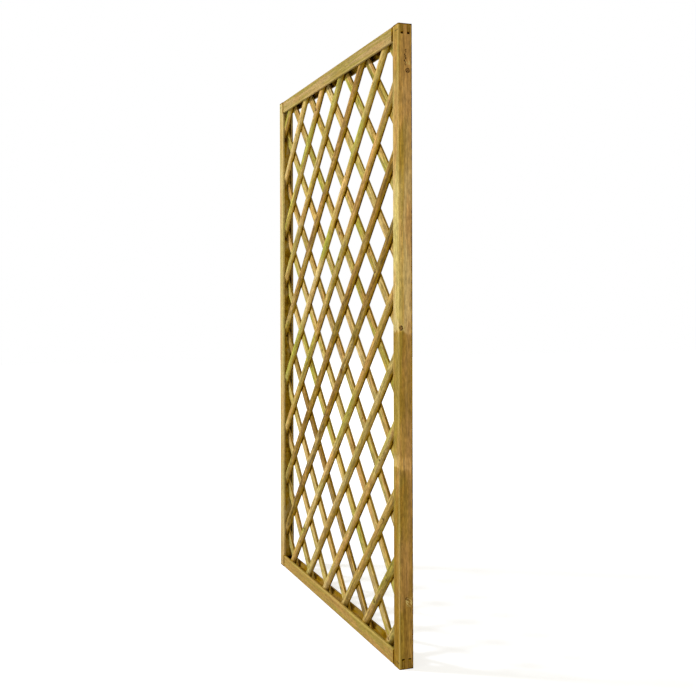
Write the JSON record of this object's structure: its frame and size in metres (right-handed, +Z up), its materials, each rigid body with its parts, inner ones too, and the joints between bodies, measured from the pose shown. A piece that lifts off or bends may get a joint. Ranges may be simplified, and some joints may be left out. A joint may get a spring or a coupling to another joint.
{
  "type": "trellis panel",
  "caption": "Upright softwood trellis panel: a grooved rectangular frame holding two crossed layers of half-round diagonal laths.",
  "frame": {"origin": "middle of the panel's bottom edge, halfway through its depth", "axes": "+X along the panel's width to the right as seen from the front, +Y from front to rear, +Z up the panel"},
  "size_m": [1.2, 0.042, 1.8],
  "materials": {
    "stile_wood": "planed pressure-treated softwood, matt",
    "rail_wood": "planed pressure-treated softwood, matt",
    "front_lath_wood": "machined half-round pressure-treated softwood, matt",
    "rear_lath_wood": "machined half-round pressure-treated softwood, matt",
    "zinc_plated_steel": "dull zinc plate"
  },
  "bodies": {
    "root": {"left_stile": "stile_wood", "right_stile": "stile_wood", "top_rail": "rail_wood", "bottom_rail": "rail_wood", "front_lath_01": "front_lath_wood", "front_lath_02": "front_lath_wood", "front_lath_03": "front_lath_wood", "front_lath_04": "front_lath_wood", "front_lath_05": "front_lath_wood", "front_lath_06": "front_lath_wood", "front_lath_07": "front_lath_wood", "front_lath_08": "front_lath_wood", "front_lath_09": "front_lath_wood", "front_lath_10": "front_lath_wood", "front_lath_11": "front_lath_wood", "front_lath_12": "front_lath_wood", "front_lath_13": "front_lath_wood", "front_lath_14": "front_lath_wood", "front_lath_15": "front_lath_wood", "rear_lath_01": "rear_lath_wood", "rear_lath_02": "rear_lath_wood", "rear_lath_03": "rear_lath_wood", "rear_lath_04": "rear_lath_wood", "rear_lath_05": "rear_lath_wood", "rear_lath_06": "rear_lath_wood", "rear_lath_07": "rear_lath_wood", "rear_lath_08": "rear_lath_wood", "rear_lath_09": "rear_lath_wood", "rear_lath_10": "rear_lath_wood", "rear_lath_11": "rear_lath_wood", "rear_lath_12": "rear_lath_wood", "rear_lath_13": "rear_lath_wood", "rear_lath_14": "rear_lath_wood", "rear_lath_15": "rear_lath_wood", "bottom_left_outer_nail": "zinc_plated_steel", "bottom_left_inner_nail": "zinc_plated_steel", "bottom_right_outer_nail": "zinc_plated_steel", "bottom_right_inner_nail": "zinc_plated_steel", "top_left_outer_nail": "zinc_plated_steel", "top_left_inner_nail": "zinc_plated_steel", "top_right_outer_nail": "zinc_plated_steel", "top_right_inner_nail": "zinc_plated_steel"}
  },
  "joints": []
}
